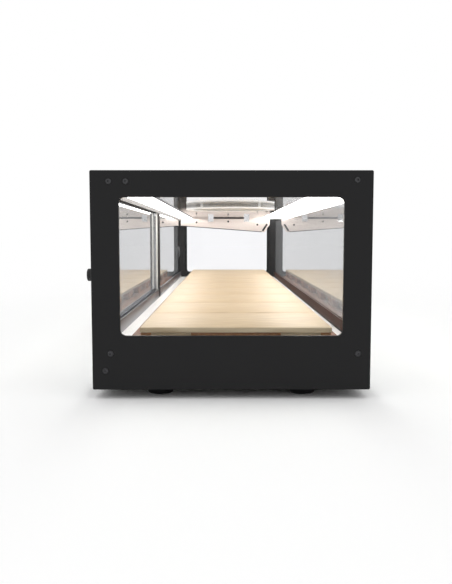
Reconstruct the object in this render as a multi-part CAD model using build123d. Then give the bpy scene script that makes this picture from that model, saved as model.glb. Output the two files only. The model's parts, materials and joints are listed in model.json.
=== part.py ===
from build123d import *

import os
from math import atan2, degrees, hypot

# A long, low refrigerated display case for a counter. X runs along its length, Y from the
# customer's side (-Y) to the operator's side with the sliding doors (+Y), and Z is up.
# All sizes are in millimetres. The case stands on its feet at Z = 0.

# Outer sizes
case_length = 1500.0
case_depth = 345.0
case_height = 270.0
foot_height = 12.0
panel_thickness = 10.0
sheet = 1.5
hole_play = 0.5
port_play = 0.1
foam_margin = 2.0

base_bottom = foot_height
roof_top = base_bottom + case_height
half_length = case_length / 2
half_depth = case_depth / 2
inner_half = half_length - panel_thickness

# Heights of the main levels
floor_top = 62.0
floor_thickness = 1.5
floor_bottom = floor_top - floor_thickness
ceiling_bottom = 263.0
ceiling_thickness = 0.8
ceiling_fold_top = ceiling_bottom + 12.0
light_bottom = 261.0
roof_inside = roof_top - sheet

# End windows
window_width = 275.0
window_height = 170.0
window_bottom = base_bottom + 67.5
window_radius = 7.5
window_centre_z = window_bottom + window_height / 2
rebate_margin = 9.0
seal_thickness = 1.5
end_glass_thickness = 4.0
rebate_depth = seal_thickness + end_glass_thickness
panel_edge_round = 1.0
panel_corner_round = 2.0

# Screws of the end panels: depth and height of each axis, on both ends alike
roof_rear_screws = [(149.6, 268.6), (128.9, 268.6)]
roof_front_screws = [(-152.8, 270.3)]
base_rear_screws = [(149.8, 57.2)]
base_rear_low_screws = [(156.4, 35.7)]
base_front_screws = [(-156.7, 57.2)]
panel_screws_at = (
    roof_rear_screws + roof_front_screws + base_rear_screws + base_rear_low_screws + base_front_screws
)
screw_radius = 1.95
screw_port_radius = 2.0
screw_head_radius = 3.5
screw_head_height = 4.0
screw_head_proud = 0.8
screw_length = 24.0
socket_radius = 1.75
socket_depth = 2.2
screw_hole_radius = 2.25
counterbore_radius = 3.8

# Rear doors and their tracks
track_inner_y = 158.0
track_wall = 1.5
groove_width = 5.0
lower_track_top = floor_top + 20.0
lower_groove_floor = lower_track_top - 8.0
upper_track_bottom = 254.0
upper_groove_top = 269.0
door_glass_thickness = 4.0
inner_groove_y = track_inner_y + track_wall + groove_width / 2
outer_groove_y = inner_groove_y + groove_width + track_wall
door_overlap = 90.0
door_end_gap = 1.0
door_bottom = 76.0
door_top = 262.0
door_travel = inner_half - door_end_gap - door_overlap / 2
trim_width = 12.8
trim_wall = 0.8
trim_leg_thickness = 1.8
trim_leg_gap = 0.4
trim_leg_bottom = floor_top + 2.0
glide_height = 1.8
glide_length = 40.0
glide_width = 3.6
glide_inset = 60.0
knob_radius = 8.5
knob_round = 1.8
knob_reach = 21.7
knob_neck_radius = 6.0
knob_neck_length = 6.0
knob_port_depth = 13.0
knob_screw_radius = 2.5
knob_cap_radius = 7.0
knob_cap_thickness = 1.1
knob_x = -662.0
knob_z = 150.0
pull_x = 645.0
pull_radius = 16.0
pull_flange = 3.0
pull_wall = 1.5
pull_depth = 3.0

# Front glass
front_glass_thickness = 5.0
front_glass_inner_y = -165.0
front_glass_bottom = 50.0
front_glass_top = 271.0
front_fascia_bottom = 252.0
front_wall_top = window_bottom
front_seal_top = floor_top + 1.4
skirt_thickness = 1.8

# Rails and insulation of the base
floor_front_y = front_glass_inner_y + 1.2
floor_flange_height = 8.0
floor_flange_half = 140.0
base_front_rail_depth = 14.8
base_front_rail_bottom = 44.0
base_front_hollow = (46.0, 53.0)
base_front_rail_wall = 2.0
base_rear_rail_y = 143.0
base_rear_rail_bottom = 53.0
base_lug_length = 60.0
base_lug_bottom = 28.0
base_foam_top = 50.0
base_foam_ys = (-148.0, half_depth - 2.5)

# Roof rails with their light strips
rail_bottom = light_bottom + 2.0
rail_hollow_bottom = 273.0
front_rail = (-164.5, -123.0)
front_rail_hollow = (-145.0, -126.0)
rear_rail = (116.0, 157.5)
rear_rail_hollow = (119.0, 154.5)
rear_rail_lip = 1.5
rear_cover_gap = 0.8
front_light_slot = (-148.0, -128.0)
rear_light_slot = (133.2, 145.8)
light_slot_top = 270.0
light_board_thickness = 1.6
light_board_margin = 10.0
roof_rear_fascia = 6.0
roof_foam_zs = (264.2, 280.3)

# Feet
foot_top_radius = 19.0
foot_bottom_radius = 16.0
foot_inset_x = 42.0
foot_y = 92.0
foot_recess = 6.5
foot_screw_radius = 2.5
foot_screw_head_radius = 4.5
foot_screw_head_low = 2.5
foot_screw_top = 22.0
foot_screw_socket_radius = 1.8

# Circulation fan in the ceiling
fan_x = -195.0
fan_y = (front_rail[1] + rear_rail[0]) / 2
fan_cover_radius = 90.0
fan_cover_bottom = 255.2
fan_cover_thickness = 2.4
fan_inlet_radius = 76.0
fan_post_count = 4
fan_post_radius = 2.5
fan_post_ring = 79.5
fan_mesh_radius = 84.0
fan_mesh_thickness = 1.0
fan_mesh_hole_count = 32
fan_mesh_hole = (9.0, 3.4)
fan_opening_radius = 74.0
fan_pocket_radius = 93.0
fan_guard_rings = (21.0, 32.0, 43.0, 54.0, 65.0, fan_inlet_radius - 0.2)
fan_guard_wire = 2.0
fan_guard_height = 1.6
fan_guard_low = fan_cover_bottom + 0.4
fan_guard_disc_radius = 10.0
fan_guard_spoke_count = 12
fan_ring_radii = (76.0, 89.0)
fan_ring_top = 267.0
fan_arm_count = 3
fan_arm_width = 8.0
fan_arm_zs = (276.0, 278.0)
fan_leg_thickness = 5.0
fan_motor_radius = 21.0
fan_motor_zs = (266.0, fan_arm_zs[0])
fan_shaft_radius = 2.5
fan_shaft_low = 258.5
fan_shaft_clearance = 0.05
fan_hub_radius = 26.0
fan_hub_wall = 2.5
fan_hub_zs = (259.0, 274.0)
fan_hub_disc_top = 264.0
fan_tip_radius = 70.0
fan_blade_count = 7
fan_blade_width = 26.0
fan_blade_thickness = 1.6
fan_blade_pitch = 28.0

# Cooling tube under the floor
tube_radius = 4.75
tube_wall = 1.0
tube_z = floor_bottom - tube_radius - 0.1
tube_pitch = 40.0
tube_first_y = 84.0
tube_pass_count = 6
tube_left_x = -660.0
tube_right_x = 570.0
tube_inlet_x = 602.0
tube_outlet_x = 642.0
tube_service_z = 38.0
tube_end_y = half_depth - 6.5
tube_drop_ys = (118.0, 150.0)
tube_bend = 19.9

# Pipe fittings, drain and cable entry on the rear of the base
service_reach = 18.0
fitting_xs = (tube_inlet_x, tube_outlet_x)
fitting_inner_radius = 8.0
fitting_wall_radius = 6.0
fitting_hexagon_radius = 9.5
fitting_hexagon_depth = 5.0
fitting_bore_radius = 3.4
line_stub_radius = 4.76
drain_x = 560.0
drain_y = 132.0
drain_cup_radius = 8.5
drain_cup_bottom = 28.0
drain_cup_wall = 2.0
drain_spout_radius = 7.0
drain_bore_radius = 5.0
drain_collar_radius = 10.0
drain_collar_depth = 3.0
gland_x = 520.0
gland_bore_radius = 4.0
gland_neck_radius = 7.0
gland_flange_radius = 10.0
gland_locknut_radius = 9.5
gland_steps = (-10.0, -6.0, 4.0, 10.0, 14.0)

# Thermostat and switches on the rear of the base
service_z = 37.0
thermostat_x = 450.0
thermostat_body = (71.0, 29.0)
thermostat_bezel = (76.0, 34.0)
thermostat_depth = 57.0
thermostat_face = half_depth + 2.5
display_window = (34.0, 20.0)
display_window_depth = 0.8
display_offset = -14.0
key_size = (8.0, 5.0)
key_play = 0.4
key_first_offset = 8.0
key_pitch = 10.5
key_length = 5.0
key_proud = 1.0
key_travel = 0.8
key_pocket_depth = key_length - key_proud + key_travel + 0.7
switch_x = 345.0
switch_bezel = (52.0, 27.0)
switch_body_margin = 5.0
switch_body_depth = 24.0
switch_bezel_depth = 2.0
switch_pitch = 22.0
rocker_width = 14.0
rocker_half_height = 8.0
rocker_rise = (4.6, 6.4)
rocker_back = 3.0
rocker_tilt = 8.0
rocker_pivot_y = half_depth - 2.5
rocker_pin_radius = 1.5
rocker_pin_play = 0.06
rocker_pin_reach = 1.4
rocker_pocket = (rocker_width + 0.8, 2 * rocker_half_height + 3.0)
rocker_pocket_depth = 12.0

# Pockets in the insulation behind the services: middle, width, front and bottom of each
foam_pockets = [
    (thermostat_x, 80.0, 108.0, 20.0),
    (switch_x, 56.0, 140.0, 20.0),
    (gland_x, 30.0, 150.0, 25.0),
    (drain_x, 26.0, 120.0, 26.0),
    ((tube_inlet_x + tube_outlet_x) / 2, tube_outlet_x - tube_inlet_x + 28.0, 108.0, 28.0),
    (-inner_half, 2 * base_lug_length + 4.0, base_rear_rail_y - 1.0, base_lug_bottom - 1.0),
    (inner_half, 2 * base_lug_length + 4.0, base_rear_rail_y - 1.0, base_lug_bottom - 1.0),
]

# Wooden display boards on the floor
board_count = 9
board_length = 158.0
board_width = 244.0
board_pitch = 162.5
board_first_x = -half_length + 24.0
board_y = -6.0
board_top = 87.0
plank_thickness = 7.0
board_foot_width = 51.0
board_foot_offset = 83.0
board_foot_setback = 4.0
mat_ys = (-149.0, 138.0)
mat_thickness = 2.0

# Drip shield at the far end of the ceiling
shield_x = 712.0
shield_thickness = 1.2
shield_rear_y = 156.0
shield_front_y = -145.0
shield_rear_z = 236.0
shield_front_z = 215.0
shield_corner_y = -128.0
shield_corner_z = 240.0
shield_lip = 14.0
shield_gap = 0.3
shield_slot = (-67.0, 55.0)
shield_slot_height = 3.0
bracket_width = 18.0
bracket_height = 13.0
bracket_spacing = 121.0
bracket_depth = 9.0

# The knob is the only thing that stands past the case in depth, so the middle of the whole
# footprint lies half of its reach behind the middle of the case.
body_shift_y = -knob_reach / 2


def block(xs, ys, zs):
    """A box from its low and high X, Y and Z."""
    size = (xs[1] - xs[0], ys[1] - ys[0], zs[1] - zs[0])
    centre = ((xs[0] + xs[1]) / 2, (ys[0] + ys[1]) / 2, (zs[0] + zs[1]) / 2)
    return Pos(*centre) * Box(*size)


def along_length(section, start, end):
    """A section drawn in depth and height, run along the case from start to end."""
    return extrude(Plane.YZ.offset(start) * section, amount=end - start, dir=(1, 0, 0))


def rod_x(radius, start, end, y, z):
    """A round rod along X."""
    return along_length(Pos(y, z) * Circle(radius), start, end)


def rod_y(radius, x, start, end, z):
    """A round rod along Y."""
    return Pos(x, (start + end) / 2, z) * Rot(90, 0, 0) * Cylinder(radius, end - start)


def rod_z(radius, x, y, start, end):
    """A round rod along Z."""
    return Pos(x, y, (start + end) / 2) * Cylinder(radius, end - start)


def section_box(ys, zs):
    """A rectangle in a depth and height section."""
    return Polygon((ys[0], zs[0]), (ys[1], zs[0]), (ys[1], zs[1]), (ys[0], zs[1]))


def window_shape(grow, start, end):
    """The rounded window of an end panel, grown by a margin, from start to end along X."""
    outline = Pos(0, window_centre_z) * RectangleRounded(
        window_width + 2 * grow, window_height + 2 * grow, window_radius + grow
    )
    return along_length(outline, start, end)


# End panels, their glass, seals and screws, drawn for the low end and mirrored


def end_panel():
    centre_z = (base_bottom + roof_top) / 2
    outline = Pos(0, centre_z) * RectangleRounded(case_depth, case_height, panel_corner_round)
    panel = along_length(outline, -half_length, -inner_half)
    rim = panel.faces().sort_by(Axis.X)[0].outer_wire().edges()
    panel = fillet(rim, panel_edge_round)
    panel -= window_shape(0, -half_length - 1, -inner_half + 1)
    panel -= window_shape(rebate_margin, -inner_half - rebate_depth, -inner_half + 1)
    for y, z in panel_screws_at:
        panel -= rod_x(screw_hole_radius, -half_length - 1, -inner_half + 1, y, z)
        counterbore_end = -half_length + screw_head_height - screw_head_proud
        panel -= rod_x(counterbore_radius, -half_length - 1, counterbore_end, y, z)
    return panel


def end_seal():
    face = -inner_half - rebate_depth
    outer = window_shape(rebate_margin - 0.2, face, face + seal_thickness)
    return outer - window_shape(0.5, face - 1, face + seal_thickness + 1)


def end_glass():
    return window_shape(rebate_margin - 0.3, -inner_half - end_glass_thickness, -inner_half)


def panel_screw(y, z):
    head_start = -half_length - screw_head_proud
    head = rod_x(screw_head_radius, head_start, head_start + screw_head_height, y, z)
    head = chamfer(head.edges().group_by(Axis.X)[0], 0.5)
    shank = rod_x(screw_radius, head_start + screw_head_height, head_start + screw_length, y, z)
    socket = RegularPolygon(socket_radius, 6)
    return head + shank - along_length(Pos(y, z) * socket, head_start, head_start + socket_depth)


# Base


def base_shell():
    ys = (-half_depth, half_depth)
    shell = along_length(section_box(ys, (base_bottom, base_bottom + sheet)), -inner_half, inner_half)
    front_wall = section_box((-half_depth, -half_depth + sheet), (base_bottom, front_wall_top))
    rear_wall = section_box((half_depth - sheet, half_depth), (base_bottom, floor_top))
    flange = section_box((track_inner_y, half_depth), (floor_top - sheet, floor_top))
    for section in (front_wall, rear_wall, flange):
        shell += along_length(section, -inner_half, inner_half)
    for x, y in foot_places():
        shell -= rod_z(foot_screw_radius + hole_play, x, y, base_bottom - 1, base_bottom + sheet + 1)
    wall = (half_depth - 2 * sheet, half_depth + 1)
    for x, (width, height) in ((thermostat_x, thermostat_body), (switch_x, switch_body_size())):
        shell -= rear_block(x, (width + 2 * hole_play, height + 2 * hole_play), *wall)
    shell -= rod_y(gland_neck_radius + hole_play, gland_x, wall[0], wall[1], tube_service_z)
    shell -= rod_y(drain_spout_radius + hole_play, drain_x, wall[0], wall[1], tube_service_z)
    for x in fitting_xs:
        shell -= rod_y(fitting_wall_radius + hole_play, x, wall[0], wall[1], tube_service_z)
    return shell


def around(centre, size):
    """The low and high ends of a span about its centre."""
    return (centre - size / 2, centre + size / 2)


def foot_places():
    """The axes of the four feet, left to right and front to rear."""
    foot_x = half_length - foot_inset_x
    return [(-foot_x, -foot_y), (-foot_x, foot_y), (foot_x, -foot_y), (foot_x, foot_y)]


def base_rail_front():
    ys = (floor_front_y, floor_front_y + base_front_rail_depth)
    section = section_box(ys, (base_front_rail_bottom, floor_bottom))
    section -= section_box((ys[0] + base_front_rail_wall, ys[1] - base_front_rail_wall), base_front_hollow)
    for y, z in base_front_screws:
        section -= Pos(y, z) * Circle(screw_port_radius)
    return along_length(section, -inner_half, inner_half)


def base_rail_rear():
    """A bar under the lower door track, with deeper lugs for the low screws at its ends."""
    ys = (base_rear_rail_y, half_depth - sheet)
    rail = along_length(section_box(ys, (base_rear_rail_bottom, floor_bottom)), -inner_half, inner_half)
    lug = section_box(ys, (base_lug_bottom, base_rear_rail_bottom))
    for start in (-inner_half, inner_half - base_lug_length):
        rail += along_length(lug, start, start + base_lug_length)
    for y, z in base_rear_screws + base_rear_low_screws:
        rail -= rod_x(screw_port_radius, -inner_half - 1, inner_half + 1, y, z)
    return rail


def base_insulation():
    xs = (-inner_half + foam_margin, inner_half - foam_margin)
    foam = block(xs, base_foam_ys, (base_bottom + sheet, base_foam_top))
    for middle, width, front, bottom in foam_pockets:
        foam -= block(around(middle, width), (front, half_depth), (bottom, base_foam_top + 1))
    for x, y in foot_places():
        foam -= rod_z(2 * foot_screw_radius, x, y, base_bottom, foot_screw_top + foam_margin)
    return foam


def floor_plate():
    plate = block((-inner_half, inner_half), (floor_front_y, track_inner_y), (floor_bottom, floor_top))
    flange_ys = (-floor_flange_half, floor_flange_half)
    flange_zs = (floor_bottom - floor_flange_height, floor_bottom)
    for start in (-inner_half, inner_half - floor_thickness):
        plate += block((start, start + floor_thickness), flange_ys, flange_zs)
    return plate - rod_z(drain_bore_radius, drain_x, drain_y, floor_bottom - 1, floor_top + 1)


def cooling_tube():
    """A serpentine of straight passes under the floor, with both ends led to the rear wall."""
    pass_ys = [tube_first_y - tube_pitch * index for index in range(tube_pass_count)]
    route = [
        (tube_inlet_x, tube_end_y, tube_service_z),
        (tube_inlet_x, tube_drop_ys[1], tube_service_z),
        (tube_inlet_x, tube_drop_ys[0], tube_z),
        (tube_inlet_x, pass_ys[0], tube_z),
    ]
    for index, y in enumerate(pass_ys):
        near_x, far_x = (tube_right_x, tube_left_x) if index % 2 == 0 else (tube_left_x, tube_right_x)
        if index > 0:
            route.append((near_x, y, tube_z))
        if index < tube_pass_count - 1:
            route.append((far_x, y, tube_z))
    route += [
        (tube_outlet_x, pass_ys[-1], tube_z),
        (tube_outlet_x, tube_drop_ys[0], tube_z),
        (tube_outlet_x, tube_drop_ys[1], tube_service_z),
        (tube_outlet_x, tube_end_y, tube_service_z),
    ]
    path = FilletPolyline(*route, radius=tube_bend)
    start = Plane(origin=route[0], z_dir=(0, -1, 0))
    ring = start * Circle(tube_radius) - start * Circle(tube_radius - tube_wall)
    return sweep(ring, path=path)


def hexagon_rod(radius, x, start, end):
    """A hexagon bar along Y at the height of the tube's ends."""
    face = Plane(origin=(x, start, tube_service_z), z_dir=(0, 1, 0)) * RegularPolygon(radius, 6)
    return extrude(face, amount=end - start)


def line_fitting(x):
    """A flare fitting on the end of the cooling tube, with a stub for the outside line."""
    wall = half_depth - sheet
    hexagon_end = half_depth + fitting_hexagon_depth
    stub_end = half_depth + service_reach
    fitting = rod_y(fitting_inner_radius, x, tube_end_y, wall, tube_service_z)
    fitting += rod_y(fitting_wall_radius, x, wall, half_depth, tube_service_z)
    fitting += hexagon_rod(fitting_hexagon_radius, x, half_depth, hexagon_end)
    fitting += rod_y(line_stub_radius, x, hexagon_end, stub_end, tube_service_z)
    return fitting - rod_y(fitting_bore_radius, x, tube_end_y - 1, stub_end + 1, tube_service_z)


def drain_spout():
    """A cup under the drain hole of the floor, with a level spout to the rear."""
    spout_end = half_depth + service_reach
    collar_end = half_depth + drain_collar_depth
    inside_bottom = drain_cup_bottom + drain_cup_wall + 1
    cup = rod_z(drain_cup_radius, drain_x, drain_y, drain_cup_bottom, floor_bottom)
    spout = rod_y(drain_spout_radius, drain_x, drain_y, spout_end, tube_service_z)
    collar = rod_y(drain_collar_radius, drain_x, half_depth, collar_end, tube_service_z)
    hollow = rod_z(drain_cup_radius - drain_cup_wall, drain_x, drain_y, inside_bottom, floor_bottom + 1)
    hollow += rod_y(drain_bore_radius, drain_x, drain_y, spout_end + 1, tube_service_z)
    return cup + spout + collar - hollow


def power_gland():
    """A cable gland: a neck through the wall, a locknut inside it, and a flange and nut outside."""
    inner, locknut, flange, nut, end = [half_depth + step for step in gland_steps]
    gland = rod_y(gland_neck_radius, gland_x, inner, end, tube_service_z)
    gland += rod_y(gland_locknut_radius, gland_x, locknut, half_depth - sheet, tube_service_z)
    gland += rod_y(gland_flange_radius, gland_x, half_depth, flange, tube_service_z)
    gland += hexagon_rod(gland_flange_radius, gland_x, flange, nut)
    return gland - rod_y(gland_bore_radius, gland_x, inner - 1, end + 1, tube_service_z)


# Feet


def foot(x, y):
    side = Polygon(
        (0, 0), (foot_bottom_radius - 1, 0), (foot_bottom_radius, 1), (foot_top_radius, foot_height - 2),
        (foot_top_radius, foot_height), (0, foot_height),
    )
    body = Pos(x, y, 0) * revolve(Plane.XZ * side, axis=Axis.Z)
    body -= rod_z(foot_screw_radius + hole_play, x, y, -1, foot_height + 1)
    return body - rod_z(foot_screw_head_radius + hole_play, x, y, -1, foot_recess)


def foot_screw(x, y):
    screw = rod_z(foot_screw_head_radius, x, y, foot_screw_head_low, foot_recess)
    screw += rod_z(foot_screw_radius, x, y, foot_recess, foot_screw_top)
    socket_top = (foot_screw_head_low + foot_recess) / 2
    return screw - rod_z(foot_screw_socket_radius, x, y, foot_screw_head_low - 1, socket_top)


# Front glass and its seals


def front_glass():
    ys = (front_glass_inner_y - front_glass_thickness, front_glass_inner_y)
    return block((-inner_half + 0.5, inner_half - 0.5), ys, (front_glass_bottom, front_glass_top))


def front_seal_lower():
    """A channel of rubber round the lower edge of the front glass."""
    outer_y = -half_depth + sheet
    inner_y = front_glass_inner_y + 1.0
    glass_ys = (front_glass_inner_y - front_glass_thickness, front_glass_inner_y)
    section = section_box((outer_y, inner_y), (front_glass_bottom - 2, front_seal_top))
    section -= section_box(glass_ys, (front_glass_bottom, front_seal_top + 1))
    return along_length(section, -inner_half + 0.5, inner_half - 0.5)


def front_skirt():
    """The brown strip inside the foot of the front glass, on top of its seal."""
    ys = (front_glass_inner_y, front_glass_inner_y + skirt_thickness)
    return block((-inner_half + 0.5, inner_half - 0.5), ys, (front_seal_top, window_bottom))


def front_seal_upper():
    ys = (-half_depth + sheet, front_glass_inner_y - front_glass_thickness)
    return block((-inner_half + 0.5, inner_half - 0.5), ys, (front_fascia_bottom + 1, front_glass_top))


# Roof


def roof_cover():
    front = section_box((-half_depth, -half_depth + sheet), (front_fascia_bottom, roof_top))
    rear = section_box((half_depth - sheet, half_depth), (roof_top - roof_rear_fascia, roof_top))
    section = section_box((-half_depth, half_depth), (roof_inside, roof_top)) + front + rear
    return along_length(section, -inner_half, inner_half)


def roof_rail(ys, slot, hollow, ports, lip):
    """A rail with a slot for its light, and a lip of the given width on its inner edge."""
    section = section_box(ys, (rail_bottom, roof_inside))
    section -= section_box(slot, (rail_bottom, light_slot_top))
    section -= section_box(hollow, (rail_hollow_bottom, roof_inside - sheet))
    for y, z in ports:
        section -= Pos(y, z) * Circle(screw_port_radius)
    if lip > 0:
        section += section_box((ys[0], ys[0] + lip), (light_bottom, rail_bottom))
    return along_length(section, -inner_half, inner_half)


def light_board(slot):
    xs = (-inner_half + light_board_margin, inner_half - light_board_margin)
    zs = (light_slot_top - light_board_thickness, light_slot_top)
    return block(xs, (slot[0] + 1, slot[1] - 1), zs)


def light_cover(ys):
    """The diffuser that closes a rail, with eased lower edges."""
    cover = block((-inner_half + 0.5, inner_half - 0.5), ys, (light_bottom, rail_bottom))
    return chamfer(cover.edges().filter_by(Axis.X).group_by(Axis.Z)[0], 0.6)


def ceiling_panel():
    """A pan of polished sheet between the rails, with both sides folded up."""
    ys = (front_rail[1], rear_rail[0])
    section = section_box(ys, (ceiling_bottom, ceiling_bottom + ceiling_thickness))
    for start in (ys[0], ys[1] - ceiling_thickness):
        section += section_box((start, start + ceiling_thickness), (ceiling_bottom, ceiling_fold_top))
    pan = along_length(section, -inner_half, inner_half)
    return pan - rod_z(fan_opening_radius, fan_x, fan_y, ceiling_bottom - 1, ceiling_fold_top)


def roof_insulation():
    xs = (-inner_half + foam_margin, inner_half - foam_margin)
    foam = block(xs, (front_rail[1] + foam_margin, rear_rail[0] - foam_margin), roof_foam_zs)
    return foam - rod_z(fan_pocket_radius, fan_x, fan_y, roof_foam_zs[0] - 1, roof_foam_zs[1] + 1)


# Circulation fan


def fan_cover():
    """A round cover with a rounded rim, hung on four posts below the ceiling."""
    low = fan_cover_bottom
    high = low + fan_cover_thickness
    dish = rod_z(fan_cover_radius, fan_x, fan_y, low, high)
    rim = dish.edges().filter_by(GeomType.CIRCLE)
    dish = fillet(rim, fan_cover_thickness / 2 - 0.05)
    dish -= rod_z(fan_inlet_radius, fan_x, fan_y, low - 1, high + 1)
    post_height = ceiling_bottom - high + 0.5
    post = Pos(fan_post_ring, 0, ceiling_bottom - post_height / 2) * Cylinder(fan_post_radius, post_height)
    for turn in fan_turns(fan_post_count, 45):
        dish += turn * post
    return dish


def fan_turns(count, first=0):
    """Places turned evenly round the fan's axis."""
    return [Pos(fan_x, fan_y, 0) * Rot(0, 0, first + 360 * index / count) for index in range(count)]


def fan_ring(inner, outer, low, high):
    """A flat ring round the fan's axis."""
    return rod_z(outer, fan_x, fan_y, low, high) - rod_z(inner, fan_x, fan_y, low - 1, high + 1)


def fan_mesh():
    """The perforated band between the cover and the ceiling."""
    low = fan_cover_bottom + fan_cover_thickness
    band = fan_ring(fan_mesh_radius - fan_mesh_thickness, fan_mesh_radius, low, ceiling_bottom)
    hole = Pos(fan_mesh_radius, 0, (low + ceiling_bottom) / 2) * Box(6 * fan_mesh_thickness, *fan_mesh_hole)
    for turn in fan_turns(fan_mesh_hole_count):
        band -= turn * hole
    return band


def fan_guard():
    """Wire rings and spokes over the inlet in the cover."""
    low = fan_guard_low
    high = low + fan_guard_height
    guard = rod_z(fan_guard_disc_radius, fan_x, fan_y, low, high)
    for outer in fan_guard_rings:
        guard += fan_ring(outer - fan_guard_wire, outer, low, high)
    length = fan_inlet_radius - 1
    spoke = Pos(length / 2, 0, (low + high) / 2) * Box(length, fan_guard_wire, fan_guard_height)
    for turn in fan_turns(fan_guard_spoke_count):
        guard += turn * spoke
    return guard


def fan_bracket():
    """A ring on the back of the ceiling with three arms that carry the motor."""
    low, high = fan_arm_zs
    ring_low = ceiling_bottom + ceiling_thickness
    bracket = fan_ring(*fan_ring_radii, ring_low, fan_ring_top)
    bracket += rod_z(fan_hub_radius, fan_x, fan_y, low, high)
    outer = fan_ring_radii[1] - 3.0
    half_width = fan_arm_width / 2
    arm = block((fan_motor_radius, outer), (-half_width, half_width), (low, high))
    leg = block((outer - fan_leg_thickness, outer), (-half_width, half_width), (fan_ring_top - 1, high))
    for turn in fan_turns(fan_arm_count, 30):
        bracket += turn * (arm + leg)
    return bracket


def fan_motor():
    motor = rod_z(fan_motor_radius, fan_x, fan_y, *fan_motor_zs)
    return motor + rod_z(fan_shaft_radius, fan_x, fan_y, fan_shaft_low, fan_motor_zs[0])


def fan_impeller():
    """A hub that cups the motor, with pitched blades, turning on the motor's shaft."""
    low, high = fan_hub_zs
    bore = fan_shaft_radius + fan_shaft_clearance
    impeller = rod_z(fan_hub_radius, fan_x, fan_y, low, high)
    impeller -= rod_z(fan_hub_radius - fan_hub_wall, fan_x, fan_y, fan_hub_disc_top, high + 1)
    impeller -= rod_z(bore, fan_x, fan_y, low - 1, high + 1)
    length = fan_tip_radius - fan_hub_radius + 1
    blade = Pos(fan_hub_radius - 1 + length / 2, 0, 0) * Rot(fan_blade_pitch, 0, 0)
    blade *= Box(length, fan_blade_width, fan_blade_thickness)
    blade &= Cylinder(fan_tip_radius, 2 * fan_blade_width)
    for turn in fan_turns(fan_blade_count):
        impeller += turn * Pos(0, 0, (low + high) / 2) * blade
    return impeller


# Rear doors and their tracks


def groove_spans():
    """The depth spans of the two grooves, inner first."""
    return [around(inner_groove_y, groove_width), around(outer_groove_y, groove_width)]


def door_track_lower():
    section = section_box((track_inner_y, half_depth), (floor_top, lower_track_top))
    section -= section_box((track_inner_y + 2, half_depth - 2), (floor_top + 2, lower_groove_floor - 2))
    for ys in groove_spans():
        section -= section_box(ys, (lower_groove_floor, lower_track_top + 1))
    return along_length(section, -inner_half, inner_half)


def door_track_upper():
    step = roof_top - roof_rear_fascia
    section = section_box((track_inner_y, half_depth), (upper_track_bottom, step))
    section += section_box((track_inner_y, half_depth - sheet), (step, roof_inside))
    for ys in groove_spans():
        section -= section_box(ys, (upper_track_bottom - 1, upper_groove_top))
    return along_length(section, -inner_half, inner_half)


def door_span(side):
    """The X span of a closed door: side -1 is the left door, 1 the right one."""
    ends = (side * (inner_half - door_end_gap), -side * door_overlap / 2)
    return (min(ends), max(ends))


def door_glass(side, groove_y, hole_x, hole_radius):
    pane = block(door_span(side), around(groove_y, door_glass_thickness), (door_bottom, door_top))
    upright = pane.edges().filter_by(Axis.Z)
    pane = chamfer(upright, 0.5)
    return pane - rod_y(hole_radius, hole_x, groove_y - 5, groove_y + 5, knob_z)


def outer_door_trim():
    """An edge channel on the upright edge of the outer door, where the doors meet."""
    end = door_overlap / 2 + trim_wall
    xs = (end - trim_width, end)
    zs = (lower_track_top + 1.0, upper_track_bottom - 1.0)
    strip = block(xs, around(outer_groove_y, door_glass_thickness + 2 * trim_wall), zs)
    return strip - block(door_span(-1), around(outer_groove_y, door_glass_thickness), (zs[0] - 1, zs[1] + 1))


def inner_door_trim():
    """A flat bar on the inside of the inner door's edge, which laps down over the lower track."""
    start = door_span(1)[0]
    xs = (start, start + trim_width)
    bar_end = track_inner_y - trim_leg_gap
    glass_face = inner_groove_y - door_glass_thickness / 2
    top = upper_track_bottom - 1.0
    bar = block(xs, (bar_end - trim_leg_thickness, bar_end), (trim_leg_bottom, top))
    return bar + block(xs, (bar_end, glass_face), (lower_track_top + 1.0, top))


def door_glides(side, groove_y):
    """Two slides under the glass of a door, as separate solids."""
    start, end = door_span(side)
    places = (start + glide_inset, end - glide_inset)
    zs = (door_bottom - glide_height, door_bottom)
    return [block(around(x, glide_length), around(groove_y, glide_width), zs) for x in places]


def outer_door_knob():
    glass_face = outer_groove_y + door_glass_thickness / 2
    neck_end = glass_face + knob_neck_length
    port_end = glass_face + knob_port_depth
    neck = rod_y(knob_neck_radius, knob_x, glass_face, neck_end, knob_z)
    head = rod_y(knob_radius, knob_x, neck_end, half_depth + knob_reach, knob_z)
    head = fillet(head.edges().filter_by(GeomType.CIRCLE), knob_round)
    return neck + head - rod_y(knob_screw_radius + port_play, knob_x, glass_face - 1, port_end, knob_z)


def outer_door_knob_screw():
    """The flat screw that holds the knob from inside the glass."""
    inner_face = outer_groove_y - door_glass_thickness / 2
    tip = inner_face + door_glass_thickness + knob_port_depth - 1
    cap = rod_y(knob_cap_radius, knob_x, inner_face - knob_cap_thickness, inner_face, knob_z)
    return cap + rod_y(knob_screw_radius, knob_x, inner_face, tip, knob_z)


def inner_door_pull():
    """A finger cup set through the inner door's glass, so that the outer door passes over it."""
    outer_face = inner_groove_y + door_glass_thickness / 2
    cup_floor = inner_groove_y - door_glass_thickness / 2 - pull_depth
    cup = rod_y(pull_radius, pull_x, cup_floor, outer_face, knob_z)
    cup += rod_y(pull_radius + pull_flange, pull_x, outer_face, outer_face + trim_wall, knob_z)
    return cup - rod_y(pull_radius - pull_wall, pull_x, cup_floor + pull_wall, outer_face + 2, knob_z)


# Controls on the rear of the base


def key_xs():
    """The X places of the thermostat's three keys."""
    first = thermostat_x + key_first_offset
    return [first + key_pitch * index for index in range(3)]


def rear_block(x, size, start, end):
    """A block on the rear of the base: its middle and size along it, and its depth span."""
    return block(around(x, size[0]), (start, end), around(service_z, size[1]))


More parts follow.
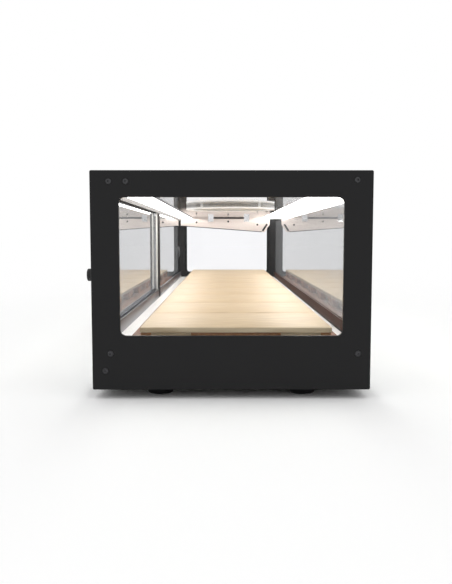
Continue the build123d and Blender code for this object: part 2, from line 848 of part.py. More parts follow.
def bezel(x, size, end, edge):
    """A frame plate on the rear wall with a chamfered face."""
    plate = rear_block(x, size, half_depth, end)
    return chamfer(plate.faces().sort_by(Axis.Y)[-1].edges(), edge)


def thermostat():
    face = thermostat_face
    unit = rear_block(thermostat_x, thermostat_body, half_depth - thermostat_depth, half_depth)
    unit += bezel(thermostat_x, thermostat_bezel, face, 1.0)
    unit -= rear_block(thermostat_x + display_offset, display_window, face - display_window_depth, face + 1)
    for x in key_xs():
        unit -= rear_block(x, key_size, face - key_pocket_depth, face + 1)
    return unit


def thermostat_key(x):
    top = thermostat_face + key_proud
    key = rear_block(x, (key_size[0] - key_play, key_size[1] - key_play), top - key_length, top)
    return chamfer(key.faces().sort_by(Axis.Y)[-1].edges(), 0.4)


def switch_body_size():
    return (switch_bezel[0] - switch_body_margin, switch_bezel[1] - switch_body_margin)


def rocker_xs():
    return (switch_x - switch_pitch / 2, switch_x + switch_pitch / 2)


def switch_housing():
    face = half_depth + switch_bezel_depth
    housing = rear_block(switch_x, switch_body_size(), half_depth - switch_body_depth, half_depth)
    housing += bezel(switch_x, switch_bezel, face, 0.8)
    pin_half = rocker_pocket[0] / 2 + rocker_pin_reach + 0.2
    for x in rocker_xs():
        housing -= rear_block(x, rocker_pocket, half_depth - rocker_pocket_depth, face + 1)
        housing -= rod_x(
            rocker_pin_radius + rocker_pin_play, x - pin_half, x + pin_half, rocker_pivot_y, service_z
        )
    return housing


def rocker(x):
    """A rocker with its pin, tilted to the off position about the pin."""
    half = rocker_half_height
    middle, end = rocker_rise
    pin_half = rocker_pocket[0] / 2 + rocker_pin_reach
    profile = Polygon(
        (-rocker_back, -half + 2), (-rocker_back, half - 2), (end, half), (middle, 0), (end, -half)
    )
    lever = along_length(profile, -rocker_width / 2, rocker_width / 2)
    lever += rod_x(rocker_pin_radius, -pin_half, pin_half, 0, 0)
    return Pos(x, rocker_pivot_y, service_z) * Rot(-rocker_tilt, 0, 0) * lever


# Things inside the case


def display_board(index):
    """A plank on two wooden feet that run along the case."""
    start = board_first_x + board_pitch * index
    xs = (start, start + board_length)
    plank = block(xs, around(board_y, board_width), (board_top - plank_thickness, board_top))
    plank = chamfer(plank.edges().group_by(Axis.Z)[-1], 0.6)
    foot_xs = (xs[0] + board_foot_setback, xs[1] - board_foot_setback)
    for offset in (-board_foot_offset, board_foot_offset):
        ys = around(board_y + offset, board_foot_width)
        plank += block(foot_xs, ys, (floor_top + mat_thickness, board_top - plank_thickness))
    return plank


def display_mat():
    """The thin brown mat that the boards stand on, notched where the floor drains."""
    xs = (board_first_x, board_first_x + board_pitch * (board_count - 1) + board_length)
    mat = block(xs, mat_ys, (floor_top, floor_top + mat_thickness))
    return mat - rod_z(drain_cup_radius, drain_x, drain_y, floor_top - 1, floor_top + mat_thickness + 1)


def drip_shield():
    """A sheet across the far end of the ceiling, with a sloping gutter behind it."""
    under_lights = light_bottom - shield_gap
    outline = Polygon(
        (shield_rear_y, under_lights), (shield_rear_y, shield_rear_z), (shield_corner_y, shield_front_z),
        (shield_front_y, shield_corner_z), (shield_front_y, under_lights),
    )
    between_rails = (front_rail[1] + shield_gap, rear_rail[0] - shield_gap)
    outline += section_box(between_rails, (under_lights - 1, ceiling_bottom))
    slot_low = ceiling_bottom - shield_slot_height
    outline -= section_box(shield_slot, (slot_low, ceiling_bottom + 1))
    shield = along_length(outline, shield_x, shield_x + shield_thickness)
    run = shield_rear_y - shield_corner_y
    rise = shield_rear_z - shield_front_z
    lip = Box(shield_lip, hypot(run, rise), shield_thickness)
    middle = (
        shield_x + shield_lip / 2,
        (shield_rear_y + shield_corner_y) / 2,
        (shield_rear_z + shield_front_z) / 2 + shield_thickness,
    )
    return shield + Pos(*middle) * Rot(degrees(atan2(rise, run)), 0, 0) * lip


def drip_shield_bracket(y):
    """A small angle that screws the drip shield to the ceiling."""
    ys = around(y, bracket_width)
    top = ceiling_bottom
    upright = block((shield_x - sheet, shield_x), ys, (top - bracket_height, top))
    return upright + block((shield_x - bracket_depth, shield_x), ys, (top - sheet, top))


def build_nodes():
    """Every node by its name, each a list of its solids, in the middle of the case."""
    low_end = {"end_panel": end_panel(), "end_seal": end_seal(), "end_glass": end_glass()}
    screws = [panel_screw(y, z) for y, z in panel_screws_at]
    nodes = {}
    for name, solid in low_end.items():
        nodes[name + "_left"] = [solid]
        nodes[name + "_right"] = [mirror(solid, about=Plane.YZ)]
    nodes["panel_screws"] = screws + [mirror(screw, about=Plane.YZ) for screw in screws]

    nodes["base_shell"] = [base_shell()]
    nodes["base_rail_front"] = [base_rail_front()]
    nodes["base_rail_rear"] = [base_rail_rear()]
    nodes["base_insulation"] = [base_insulation()]
    nodes["floor_plate"] = [floor_plate()]
    nodes["cooling_tube"] = [cooling_tube()]
    nodes["line_fittings"] = [line_fitting(x) for x in fitting_xs]
    nodes["drain_spout"] = [drain_spout()]
    nodes["power_gland"] = [power_gland()]

    foot_names = ("foot_left_front", "foot_left_rear", "foot_right_front", "foot_right_rear")
    for name, place in zip(foot_names, foot_places()):
        nodes[name] = [foot(*place)]
    nodes["foot_screws"] = [foot_screw(*place) for place in foot_places()]

    nodes["front_glass"] = [front_glass()]
    nodes["front_seal_lower"] = [front_seal_lower()]
    nodes["front_skirt"] = [front_skirt()]
    nodes["front_seal_upper"] = [front_seal_upper()]

    nodes["roof_cover"] = [roof_cover()]
    nodes["roof_rail_front"] = [
        roof_rail(front_rail, front_light_slot, front_rail_hollow, roof_front_screws, 0)
    ]
    nodes["roof_rail_rear"] = [
        roof_rail(rear_rail, rear_light_slot, rear_rail_hollow, roof_rear_screws, rear_rail_lip)
    ]
    nodes["roof_insulation"] = [roof_insulation()]
    nodes["ceiling_panel"] = [ceiling_panel()]
    nodes["light_boards"] = [light_board(front_light_slot), light_board(rear_light_slot)]
    rear_cover_start = rear_rail[0] + rear_rail_lip + rear_cover_gap
    nodes["light_covers"] = [light_cover(front_rail), light_cover((rear_cover_start, rear_rail[1]))]

    nodes["fan_cover"] = [fan_cover()]
    nodes["fan_mesh"] = [fan_mesh()]
    nodes["fan_guard"] = [fan_guard()]
    nodes["fan_bracket"] = [fan_bracket()]
    nodes["fan_motor"] = [fan_motor()]
    nodes["fan_impeller"] = [fan_impeller()]

    nodes["door_track_lower"] = [door_track_lower()]
    nodes["door_track_upper"] = [door_track_upper()]
    nodes["outer_door_glass"] = [door_glass(-1, outer_groove_y, knob_x, 3.2)]
    nodes["outer_door_trim"] = [outer_door_trim()]
    nodes["outer_door_glides"] = door_glides(-1, outer_groove_y)
    nodes["outer_door_knob"] = [outer_door_knob()]
    nodes["outer_door_knob_screw"] = [outer_door_knob_screw()]
    nodes["inner_door_glass"] = [door_glass(1, inner_groove_y, pull_x, pull_radius + 0.2)]
    nodes["inner_door_trim"] = [inner_door_trim()]
    nodes["inner_door_glides"] = door_glides(1, inner_groove_y)
    nodes["inner_door_pull"] = [inner_door_pull()]

    nodes["thermostat"] = [thermostat()]
    for name, x in zip(("set_key", "up_key", "down_key"), key_xs()):
        nodes[name] = [thermostat_key(x)]
    nodes["switch_housing"] = [switch_housing()]
    for name, x in zip(("power_rocker", "light_rocker"), rocker_xs()):
        nodes[name] = [rocker(x)]

    nodes["display_boards"] = [display_board(index) for index in range(board_count)]
    nodes["display_mat"] = [display_mat()]
    nodes["drip_shield"] = [drip_shield()]
    nodes["drip_shield_brackets"] = [
        drip_shield_bracket(board_y + side * bracket_spacing / 2) for side in (-1, 1)
    ]
    return nodes


def main():
    os.makedirs("parts", exist_ok=True)
    place = Pos(0, body_shift_y, 0)
    for name, solids in build_nodes().items():
        placed = [place * solid for solid in solids]
        shape = placed[0] if len(placed) == 1 else Compound(children=placed)
        export_step(shape, f"parts/{name}.step")
    print("door travel", door_travel)


main()
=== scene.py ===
import json
from math import cos, hypot, radians, sin

import bmesh
import bpy
from mathutils import Matrix, Vector


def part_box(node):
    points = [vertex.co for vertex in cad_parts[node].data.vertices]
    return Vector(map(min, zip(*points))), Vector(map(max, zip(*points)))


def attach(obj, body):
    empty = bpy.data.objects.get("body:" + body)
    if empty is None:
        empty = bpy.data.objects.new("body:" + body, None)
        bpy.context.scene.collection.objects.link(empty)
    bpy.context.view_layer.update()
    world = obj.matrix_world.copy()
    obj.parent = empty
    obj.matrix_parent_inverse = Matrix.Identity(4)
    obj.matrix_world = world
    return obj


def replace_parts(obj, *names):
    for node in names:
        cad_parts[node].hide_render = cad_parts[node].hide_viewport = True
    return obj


# A refrigerated counter display case, seen through the window of its left end. Sizes are in metres,
# in the same frame as the solids: X along the case, +Y to the operator's side, Z up.

# Camera, within a centimetre of the case's middle plane and above mid-height, looking down slightly.
# Its lens and sensor are in millimetres.
camera_place = (-1.570, -0.00195, 0.2028)
camera_pitch = radians(4.8)
camera_yaw = radians(0.145)
camera_lens = 41.3
camera_sensor_height = 36.0

# Floor under the case: grey in the light that it throws back, and white to look at
floor_size = 12.0
floor_grey = (0.8, 0.8, 0.8)
white = (1.0, 1.0, 1.0)

# Light given off by the strips, and a painted glow on the fan's cover, which is no lamp
strip_strength = 8.0
strip_colour = (1.0, 0.985, 0.96)
painted_cover_glow = 0.4

# Half the width of the case, without the door's knob
case_half_width = 0.1725

# Woven band and screen of the fan
band_radius = 0.0855
band_bow = 0.0038
band_wire = 0.0009
band_columns = 190
band_rows = 3
screen_radius = 0.0755
screen_z = 0.2578
screen_pitch = 0.0024
screen_wire = 0.0011
weld_distance = 0.00001

# Display boards, their long feet and their battens
board_count = 9
board_first_x = -0.726
board_pitch = 0.1625
board_length = 0.158
board_width = 0.244
board_top = 0.087
plank_thickness = 0.007
board_foot_width = 0.051
board_foot_offset = 0.083
board_foot_setback = 0.004
board_rounding = 0.0009
batten_thickness = 0.016
batten_setback = 0.007

# Screw heads on the drip shield: Y from the middle of the case, and Z
shield_face_x = 0.712
shield_screw_radius = 0.0032
shield_screw_flatness = 0.45
shield_screws = [(-0.0043, 0.2508), (-0.1030, 0.2400), (0.1030, 0.2480)]

# Dark beadings on the shield's lower edges: start, end and width, by the same Y and Z
shield_edge_depth = 0.0016
shield_edge_rounding = 0.0003
shield_edges = [
    ((0.155, 0.2362), (-0.119, 0.2159), 0.0022),
    ((-0.121, 0.2190), (-0.1360, 0.2420), 0.0062),
]

# Rounded corners of the shield's brackets
bracket_rounding = 0.0007
bracket_corner_angle = radians(50)

# Ground edge of the inner door's glass
ground_edge = 0.0003

# Black lip of the front seal, along the foot of the skirt
lip_height = 0.0022
lip_depth = 0.0012

# Edges that turn by more than this stay sharp under smooth shading
smooth_angle = radians(35)

# Noise seldom goes below the first of these values or above the second
noise_low = 0.3
noise_high = 0.7

# Even finishes: dark and light colour by screen values, range of roughness, fineness of the pattern,
# depth of its relief, metallic and specular
even_finishes = {
    "charcoal_paint": ((27, 27, 28), (31, 31, 32), (0.42, 0.52), 1400.0, 0.00002, 0, 0.16),
    "black_rubber": ((22, 22, 23), (28, 28, 29), (0.6, 0.75), 700.0, 0.00004, 0, 0.2),
    "black_steel": ((62, 62, 64), (74, 74, 76), (0.3, 0.42), 900.0, 0.00001, 0.8, 0.4),
    "satin_aluminium": ((126, 130, 138), (140, 144, 152), (0.28, 0.38), 700.0, 0.000004, 1, 0.5),
    "dark_anodised": ((52, 48, 46), (60, 56, 54), (0.5, 0.6), 700.0, 0.000004, 0.1, 0.2),
    # The satin steel's pale tan is a painted reflection of the wood below it
    "satin_steel": ((240, 226, 218), (246, 234, 226), (0.3, 0.36), 260.0, 0.000002, 1, 0.5),
    "bright_clip": ((240, 240, 240), (246, 246, 246), (0.05, 0.1), 90.0, 0.000002, 1, 0.5),
    "motor_steel": ((150, 150, 152), (166, 166, 168), (0.3, 0.4), 500.0, 0.00001, 1, 0.5),
    "copper": ((190, 112, 78), (206, 130, 94), (0.25, 0.4), 160.0, 0.00001, 1, 0.5),
    "fitting_brass": ((188, 156, 88), (204, 174, 106), (0.24, 0.34), 400.0, 0.00001, 1, 0.5),
    "grey_mesh": ((226, 226, 226), (244, 244, 244), (0.26, 0.36), 900.0, 0.00001, 0.25, 0.5),
    "white_enamel": ((245, 245, 243), (250, 250, 249), (0.3, 0.38), 300.0, 0.00001, 0, 0.45),
    "insulating_foam": ((226, 214, 170), (238, 228, 190), (0.85, 0.95), 500.0, 0.0003, 0, 0.5),
    "white_plastic": ((244, 244, 243), (249, 249, 248), (0.25, 0.32), 500.0, 0.00001, 0, 0.5),
    "black_plastic": ((24, 24, 25), (30, 30, 31), (0.38, 0.48), 1100.0, 0.00002, 0, 0.35),
    "key_plastic": ((84, 87, 92), (92, 95, 100), (0.4, 0.5), 1100.0, 0.00002, 0, 0.35),
    "glide_plastic": ((222, 222, 218), (230, 230, 226), (0.4, 0.5), 700.0, 0.00001, 0, 0.5),
    "circuit_board": ((232, 232, 228), (238, 238, 234), (0.4, 0.5), 500.0, 0.00001, 0, 0.5),
}

# Metals whose pattern is drawn out along X or Y, and how far the brushing of the satin steel spreads
# what it mirrors
brushing = {
    "satin_aluminium": (0.02, 1, 1),
    "dark_anodised": (0.02, 1, 1),
    "satin_steel": (1, 0.05, 1),
}
satin_spread = 0.9

# Stained woods, dark and light by screen values
brown_wood_tones = ((112, 70, 44), (142, 96, 64))
# The skirt's stain is darkened as painted shade on its face
skirt_painted_shade_tones = ((58, 34, 22), (84, 50, 34))
# The battens' stain is lightened as painted light, where they stand in shade under the planks
batten_painted_light_tones = ((176, 122, 84), (206, 154, 112))

# Glass of the case and of its end windows: tint, refractive index and share of light kept back
case_glass = ((0.84, 0.85, 0.85), 1.47, 0.14)
window_glass = ((0.99, 0.99, 1.0), 1.2, 0.01)

# Sizes that follow from those above
plank_bottom = board_top - plank_thickness
board_half_width = board_width / 2
board_foot_inner = board_foot_offset - board_foot_width / 2
board_foot_outer = board_foot_offset + board_foot_width / 2
ground_edge_rounding = ground_edge / 3
lip_rounding = lip_depth / 4

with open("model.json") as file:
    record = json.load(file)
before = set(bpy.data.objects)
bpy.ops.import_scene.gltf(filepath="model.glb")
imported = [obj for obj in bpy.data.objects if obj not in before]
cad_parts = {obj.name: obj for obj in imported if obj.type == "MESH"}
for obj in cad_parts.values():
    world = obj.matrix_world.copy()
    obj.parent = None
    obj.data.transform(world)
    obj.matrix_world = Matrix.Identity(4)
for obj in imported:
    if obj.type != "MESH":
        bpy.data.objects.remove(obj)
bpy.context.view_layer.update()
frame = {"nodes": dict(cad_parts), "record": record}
fan_low, fan_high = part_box("fan_cover")
fan_x = (fan_low[0] + fan_high[0]) / 2
fan_y = (fan_low[1] + fan_high[1]) / 2
band_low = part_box("fan_mesh")[0][2]
band_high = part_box("fan_mesh")[1][2]
boards_low, boards_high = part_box("display_boards")
board_y = (boards_low[1] + boards_high[1]) / 2
foot_bottom = boards_low[2]
case_middle_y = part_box("end_panel_left")[0][1] + case_half_width


# Materials


def tone(red, green, blue):
    """A colour from its screen values of 11 to 255, by the curve that screens use."""
    return [((value / 255 + 0.055) / 1.055) ** 2.4 for value in (red, green, blue)]


def new_material(name, colour, roughness, metallic=0.0, specular=0.5):
    """A material and its shader, with its plain values on the shader's own sockets."""
    material = bpy.data.materials.new(name)
    material.use_nodes = True
    shader = material.node_tree.nodes["Principled BSDF"]
    shader.inputs["Base Color"].default_value = (*colour, 1)
    shader.inputs["Roughness"].default_value = roughness
    shader.inputs["Metallic"].default_value = metallic
    shader.inputs["Specular IOR Level"].default_value = specular
    return material, shader


def add(material, kind, **values):
    """A node of that kind, with its inputs set by name."""
    node = material.node_tree.nodes.new(kind)
    for name, value in values.items():
        node.inputs[name].default_value = value
    return node


def join(material, start, end):
    """Links an output to an input."""
    material.node_tree.links.new(start, end)


def pattern(material, scale, stretch=(1, 1, 1), detail=4.0):
    """Noise on the piece's own coordinates, finer for a larger scale, stretched by axis."""
    place = add(material, "ShaderNodeTexCoord")
    mapping = add(material, "ShaderNodeMapping", Scale=stretch)
    noise = add(material, "ShaderNodeTexNoise", Scale=scale, Detail=detail)
    join(material, place.outputs["Object"], mapping.inputs["Vector"])
    join(material, mapping.outputs["Vector"], noise.inputs["Vector"])
    return noise.outputs["Fac"]


def shade(material, shader, value, dark, light):
    """The base colour runs from dark to light by a pattern's value."""
    ramp = add(material, "ShaderNodeValToRGB")
    first, last = ramp.color_ramp.elements
    first.position = noise_low
    last.position = noise_high
    first.color = (*tone(*dark), 1)
    last.color = (*tone(*light), 1)
    join(material, value, ramp.inputs["Fac"])
    join(material, ramp.outputs["Color"], shader.inputs["Base Color"])


def wear(material, shader, value, low, high):
    """The roughness runs between low and high by a pattern's value."""
    spread = material.node_tree.nodes.new("ShaderNodeMapRange")
    spread.inputs["From Min"].default_value = noise_low
    spread.inputs["From Max"].default_value = noise_high
    spread.inputs["To Min"].default_value = low
    spread.inputs["To Max"].default_value = high
    join(material, value, spread.inputs["Value"])
    join(material, spread.outputs["Result"], shader.inputs["Roughness"])


def relief(material, shader, value, depth):
    """Small bumps of that depth in metres."""
    bump = add(material, "ShaderNodeBump", Distance=depth, Strength=1.0)
    join(material, value, bump.inputs["Height"])
    join(material, bump.outputs["Normal"], shader.inputs["Normal"])


def glow(shader, colour, strength):
    """The surface gives off light of its own."""
    shader.inputs["Emission Color"].default_value = (*colour, 1)
    shader.inputs["Emission Strength"].default_value = strength


def any_ray(material, *kinds):
    """One where the ray is of any of the kinds, otherwise nought."""
    ray = add(material, "ShaderNodeLightPath")
    value = ray.outputs[kinds[0]]
    for kind in kinds[1:]:
        larger = add(material, "ShaderNodeMath")
        larger.operation = "MAXIMUM"
        join(material, value, larger.inputs[0])
        join(material, ray.outputs[kind], larger.inputs[1])
        value = larger.outputs["Value"]
    return value


def mix_shaders(material, first, second):
    """A mix of two shaders, with its share of the second still to be set."""
    mix = add(material, "ShaderNodeMixShader")
    join(material, first, mix.inputs[1])
    join(material, second, mix.inputs[2])
    return mix


def even_finish(name):
    """A finish whose colour, roughness and relief all vary a little with one pattern."""
    dark, light, roughness, scale, depth, metallic, specular = even_finishes[name]
    material, shader = new_material(name, tone(*dark), roughness[0], metallic, specular)
    value = pattern(material, scale, brushing.get(name, (1, 1, 1)))
    shade(material, shader, value, dark, light)
    wear(material, shader, value, *roughness)
    relief(material, shader, value, depth)
    return material, shader


def clear_glass(name, colour, ior, smoke):
    """Glass that lets light through to what is behind it without a shadow, and keeps some back."""
    material, shader = new_material(name, colour, roughness=0.0)
    shader.inputs["Transmission Weight"].default_value = 1.0
    shader.inputs["IOR"].default_value = ior
    wear(material, shader, pattern(material, scale=9.0), low=0.0, high=0.012)
    through = add(material, "ShaderNodeBsdfTransparent", Color=(*tone(246, 248, 248), 1))
    glass = mix_shaders(material, shader.outputs["BSDF"], through.outputs["BSDF"])
    join(material, any_ray(material, "Is Shadow Ray", "Is Diffuse Ray"), glass.inputs["Fac"])
    dark = add(material, "ShaderNodeBsdfDiffuse", Color=(0, 0, 0, 1))
    smoked = mix_shaders(material, glass.outputs["Shader"], dark.outputs["BSDF"])
    smoked.inputs["Fac"].default_value = smoke
    surface = material.node_tree.nodes["Material Output"].inputs["Surface"]
    join(material, smoked.outputs["Shader"], surface)
    return material


def light_wood():
    """Planed pale wood with its grain across the case, and each board a little different."""
    material, shader = new_material("light_wood", tone(214, 190, 152), roughness=0.5, specular=0.35)
    grain = pattern(material, scale=22.0, stretch=(9.0, 1.0, 9.0), detail=7.0)
    shade(material, shader, grain, dark=(194, 168, 132), light=(223, 204, 173))
    wear(material, shader, grain, low=0.42, high=0.6)
    relief(material, shader, grain, depth=0.0002)
    return material


def stained_wood(name, dark, light):
    """Stained wood with its grain along the case."""
    material, shader = new_material(name, tone(*dark), roughness=0.55, specular=0.3)
    grain = pattern(material, scale=26.0, stretch=(1.0, 8.0, 8.0), detail=7.0)
    shade(material, shader, grain, dark, light)
    wear(material, shader, grain, low=0.5, high=0.65)
    relief(material, shader, grain, depth=0.0002)
    return material


def opal_plastic():
    """The diffuser of a light strip, which glows evenly."""
    material, shader = new_material("opal_plastic", tone(245, 245, 243), roughness=0.4)
    relief(material, shader, pattern(material, scale=900.0), depth=0.00003)
    glow(shader, strip_colour, strip_strength)
    return material


def white_plastic():
    """Moulded white plastic with a painted glow, which stands in for the light of the strips on it.
    """
    material, shader = even_finish("white_plastic")
    glow(shader, white, painted_cover_glow)
    return material


def polished_steel():
    """Bright steel sheet that mirrors what is under it."""
    colour = tone(236, 235, 234)
    material, shader = new_material("polished_steel", colour, roughness=0.05, metallic=0.8)
    value = pattern(material, scale=60.0, stretch=(0.15, 1, 1))
    shade(material, shader, value, dark=(232, 231, 230), light=(240, 239, 238))
    wear(material, shader, value, low=0.03, high=0.09)
    return material


def satin_steel():
    """Steel sheet brushed along its width, which spreads what it mirrors upright. Its pale tan
    colour is a painted reflection of the wood below it.
    """
    material, shader = even_finish("satin_steel")
    shader.inputs["Anisotropic"].default_value = satin_spread
    along_width = add(material, "ShaderNodeCombineXYZ", Y=1.0)
    join(material, along_width.outputs["Vector"], shader.inputs["Tangent"])
    return material


def make_finishes():
    """Every finish by its name, which for most is the name of its slot."""
    special = ("white_plastic", "satin_steel")
    finishes = {name: even_finish(name)[0] for name in even_finishes if name not in special}
    finishes["white_plastic"] = white_plastic()
    finishes["satin_steel"] = satin_steel()
    finishes["polished_steel"] = polished_steel()
    finishes["opal_plastic"] = opal_plastic()
    finishes["clear_glass"] = clear_glass("clear_glass", *case_glass)
    finishes["end_glass"] = clear_glass("end_glass", *window_glass)
    finishes["light_wood"] = light_wood()
    finishes["brown_wood"] = stained_wood("brown_wood", *brown_wood_tones)
    # The skirt takes a darker copy of the brown stain as painted shade
    finishes["skirt_stain_painted_shade"] = stained_wood("skirt_stain_painted_shade", *skirt_painted_shade_tones)
    # The battens take a lighter copy of the brown stain as painted light
    finishes["batten_stain_painted_light"] = stained_wood("batten_stain_painted_light", *batten_painted_light_tones)
    return finishes


# Solids of the case


def dress_nodes(finishes):
    """Each node takes the finish of its slot, and a few take one of their own."""
    for part in frame["record"]["subparts"]:
        node = frame["nodes"][part["node"]]
        node.data.materials.clear()
        node.data.materials.append(finishes[part["material_slot"]])
    own = {
        "end_glass_left": "end_glass",
        "end_glass_right": "end_glass",
        # The skirt's darker stain is painted shade
        "front_skirt": "skirt_stain_painted_shade",
        "drip_shield_brackets": "bright_clip",
    }
    for name, finish in own.items():
        frame["nodes"][name].data.materials[0] = finishes[finish]


def round_brackets():
    """Rounds the corners of the shield's brackets."""
    rounding = frame["nodes"]["drip_shield_brackets"].modifiers.new("rounding", "BEVEL")
    rounding.width = bracket_rounding
    rounding.segments = 3
    rounding.limit_method = "ANGLE"
    rounding.angle_limit = bracket_corner_angle


# Pieces of the scene


def finished(name, mesh, material, body):
    """The object of a finished mesh, on its body and with its finish."""
    data = bpy.data.meshes.new(name)
    bmesh.ops.recalc_face_normals(mesh, faces=mesh.faces)
    mesh.to_mesh(data)
    mesh.free()
    piece = bpy.data.objects.new(name, data)
    bpy.context.collection.objects.link(piece)
    data.materials.append(material)
    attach(piece, body)
    return piece


def bevel_edges(mesh, edges, size, segments):
    """Rounds the edges of a mesh."""
    bmesh.ops.bevel(
        mesh, geom=edges, offset=size, affect="EDGES", segments=segments, profile=0.5, material=-1,
        clamp_overlap=True,
    )


def add_block(mesh, low, high, edge):
    """A box with rounded edges, from its low and high corners."""
    middle = [(a + b) / 2 for a, b in zip(low, high)]
    size = [b - a for a, b in zip(low, high)]
    place = Matrix.Translation(middle) @ Matrix.Diagonal((*size, 1))
    verts = bmesh.ops.create_cube(mesh, size=1, matrix=place)["verts"]
    edges = list({line for vert in verts for line in vert.link_edges})
    bevel_edges(mesh, edges, edge, segments=3)


def soften(piece):
    """Smooth shading, except over sharp edges."""
    for face in piece.data.polygons:
        face.use_smooth = True
    piece.data.set_sharp_from_angle(angle=smooth_angle)


def board_starts():
    """The near edge of each board, along X."""
    return [board_first_x + board_pitch * index for index in range(board_count)]


def make_boards(finish):
    """Each board is a plank on two long feet, with rounded edges."""
    mesh = bmesh.new()
    for start in board_starts():
        end = start + board_length
        plank_low = (start, board_y - board_half_width, plank_bottom)
        plank_high = (end, board_y + board_half_width, board_top)
        add_block(mesh, plank_low, plank_high, board_rounding)
        for side in (-1, 1):
            low_y = board_y + side * board_foot_offset - board_foot_width / 2
            low = (start + board_foot_setback, low_y, foot_bottom)
            high = (end - board_foot_setback, low_y + board_foot_width, plank_bottom)
            add_block(mesh, low, high, board_rounding)
    boards = finished("boards", mesh, finish, "case")
    soften(boards)
    return boards


def make_board_battens(finish):
    """Brown battens under both ends of each board, between its feet and out to its sides, with
    painted light in their lighter stain.
    """
    mesh = bmesh.new()
    spans = (
        (-board_half_width, -board_foot_outer),
        (-board_foot_inner, board_foot_inner),
        (board_foot_outer, board_half_width),
    )
    for start in board_starts():
        last = start + board_length - batten_setback - batten_thickness
        for x in (start + batten_setback, last):
            for low_y, high_y in spans:
                low = (x, board_y + low_y, foot_bottom)
                high = (x + batten_thickness, board_y + high_y, plank_bottom)
                add_block(mesh, low, high, board_rounding)
    soften(finished("board_battens", mesh, finish, "case"))


def weave(mesh, wire):
    """Turns every edge of the mesh into a square wire."""
    bmesh.ops.wireframe(
        mesh, faces=mesh.faces, thickness=wire, offset=0.0, use_replace=True, use_boundary=True,
        use_even_offset=True, use_crease=False, crease_weight=0.0, use_relative_offset=False,
        material_offset=0,
    )


def make_fan_band(finish):
    """A band of fine woven wire round the fan, spun from one upright line that bows outwards."""
    mesh = bmesh.new()
    low, high = band_low + band_wire / 2, band_high - band_wire / 2
    step = (high - low) / band_rows
    line = []
    for row in range(band_rows + 1):
        bow = band_bow * sin(radians(180) * (row + 1) / (band_rows + 2))
        line.append(mesh.verts.new((fan_x + band_radius + bow, fan_y, low + step * row)))
    edges = [mesh.edges.new(pair) for pair in zip(line, line[1:])]
    bmesh.ops.spin(
        mesh, geom=line + edges, cent=(fan_x, fan_y, 0), axis=(0, 0, 1), angle=radians(360),
        steps=band_columns, use_merge=True, use_duplicate=False,
    )
    bmesh.ops.remove_doubles(mesh, verts=mesh.verts, dist=weld_distance)
    weave(mesh, band_wire)
    return finished("fan_band", mesh, finish, "case")


def make_fan_screen(finish):
    """A flat woven screen that lies on the fan's guard."""
    mesh = bmesh.new()
    count = round(2 * screen_radius / screen_pitch)
    place = Matrix.Translation((fan_x, fan_y, screen_z)) @ Matrix.Rotation(radians(45), 4, "Z")
    bmesh.ops.create_grid(mesh, x_segments=count, y_segments=count, size=screen_radius, matrix=place)
    outside = [
        vert for vert in mesh.verts if hypot(vert.co.x - fan_x, vert.co.y - fan_y) > screen_radius
    ]
    bmesh.ops.delete(mesh, geom=outside, context="VERTS")
    weave(mesh, screen_wire)
    finished("fan_screen", mesh, finish, "case")


def make_shield_screws(finish):
    """Domed screw heads on the near face of the drip shield."""
    mesh = bmesh.new()
    turn = Matrix.Rotation(radians(-90), 4, "Y")
    for y, z in shield_screws:
        place = Matrix.Translation((shield_face_x, case_middle_y + y, z)) @ turn
        sphere = bmesh.ops.create_uvsphere(
            mesh, u_segments=24, v_segments=12, radius=shield_screw_radius
        )
        bmesh.ops.scale(mesh, vec=(1, 1, shield_screw_flatness), verts=sphere["verts"])
        bmesh.ops.transform(mesh, matrix=place, verts=sphere["verts"])
    soften(finished("shield_screws", mesh, finish, "case"))


def make_shield_edge(finish):
    """Thin dark beadings along the lower edges of the drip shield's near face."""
    mesh = bmesh.new()
    for (start_y, start_z), (end_y, end_z), width in shield_edges:
        start = Vector((shield_face_x, case_middle_y + start_y, start_z))
        run = Vector((0, end_y - start_y, end_z - start_z))
        turn = run.to_track_quat("Y", "Z").to_matrix().to_4x4()
        size = Matrix.Diagonal((shield_edge_depth, run.length, width, 1))
        place = Matrix.Translation(start + run / 2) @ turn @ size
        bmesh.ops.create_cube(mesh, size=1, matrix=place)
    bevel_edges(mesh, mesh.edges, shield_edge_rounding, segments=2)
    finished("shield_edge", mesh, finish, "case")


def make_ground_edge(finish):
    """The pale ground edge of the inner door's glass, where the doors meet."""
    low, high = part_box("inner_door_glass")
    mesh = bmesh.new()
    low_corner = (low[0] - ground_edge, low[1] + ground_edge, low[2] + ground_edge)
    high_corner = (low[0], high[1] - ground_edge, high[2] - ground_edge)
    add_block(mesh, low_corner, high_corner, ground_edge_rounding)
    finished("inner_glass_edge", mesh, finish, "inner_door")


def make_seal_lip(finish):
    """The black lip of the front seal, which stands out along the foot of the skirt."""
    low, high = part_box("front_skirt")
    mesh = bmesh.new()
    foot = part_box("display_mat")[0][2]
    low_corner = (low[0], high[1], foot)
    high_corner = (high[0], high[1] + lip_depth, foot + lip_height)
    add_block(mesh, low_corner, high_corner, lip_rounding)
    finished("front_seal_lip", mesh, finish, "case")


# Floor, light and camera


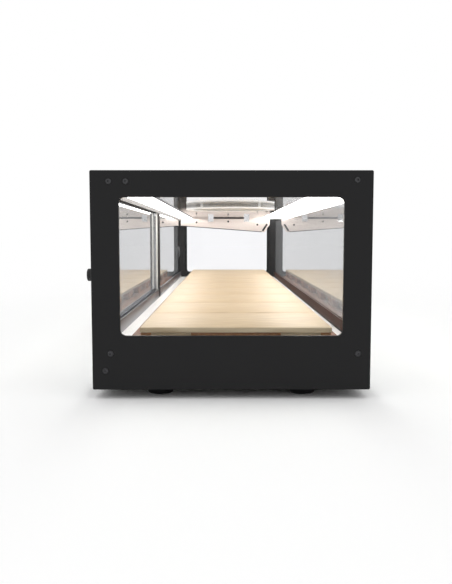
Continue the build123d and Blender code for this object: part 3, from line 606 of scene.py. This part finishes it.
def make_floor():
    """A pale floor that is white to look at, away from the shadow of the case."""
    mesh = bmesh.new()
    bmesh.ops.create_grid(mesh, x_segments=1, y_segments=1, size=floor_size)
    data = bpy.data.meshes.new("floor")
    mesh.to_mesh(data)
    mesh.free()
    floor = bpy.data.objects.new("floor", data)
    bpy.context.collection.objects.link(floor)
    material, shader = new_material("floor", floor_grey, roughness=0.9, specular=0.0)
    mix = add(material, "ShaderNodeMix")
    mix.data_type = "RGBA"
    # The names of this node's sockets repeat, so its share, colours and result go by their numbers
    share, shaded, seen = mix.inputs[0], mix.inputs[6], mix.inputs[7]
    shaded.default_value = (*floor_grey, 1)
    seen.default_value = (*white, 1)
    join(material, any_ray(material, "Is Camera Ray", "Is Glossy Ray", "Is Transmission Ray"), share)
    join(material, mix.outputs[2], shader.inputs["Base Color"])
    data.materials.append(material)


def make_world():
    """White to look at, directly or in glass and metal, and a plain soft light on the case."""
    world = bpy.data.worlds.new("studio")
    bpy.context.scene.world = world
    world.use_nodes = True
    background = world.node_tree.nodes["Background"]
    background.inputs["Color"].default_value = (*white, 1)
    background.inputs["Strength"].default_value = 1.0


def make_camera():
    """The camera, which looks along the case through its near window."""
    level = cos(camera_pitch)
    forward = Vector((level * cos(camera_yaw), -level * sin(camera_yaw), -sin(camera_pitch)))
    data = bpy.data.cameras.new("camera")
    data.lens = camera_lens
    data.sensor_fit = "VERTICAL"
    data.sensor_height = camera_sensor_height
    camera = bpy.data.objects.new("camera", data)
    camera.location = camera_place
    camera.rotation_euler = forward.to_track_quat("-Z", "Y").to_euler()
    bpy.context.collection.objects.link(camera)
    bpy.context.scene.camera = camera


finishes = make_finishes()
dress_nodes(finishes)
round_brackets()

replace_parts(make_boards(finishes["light_wood"]), "display_boards")
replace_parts(make_fan_band(finishes["grey_mesh"]), "fan_mesh")
# The battens' lighter stain is painted light
make_board_battens(finishes["batten_stain_painted_light"])
make_fan_screen(finishes["grey_mesh"])
make_shield_screws(finishes["dark_anodised"])
make_shield_edge(finishes["black_rubber"])
make_ground_edge(finishes["glide_plastic"])
make_seal_lip(finishes["black_rubber"])

make_floor()
make_world()
make_camera()
bpy.context.scene.view_settings.view_transform = "Standard"
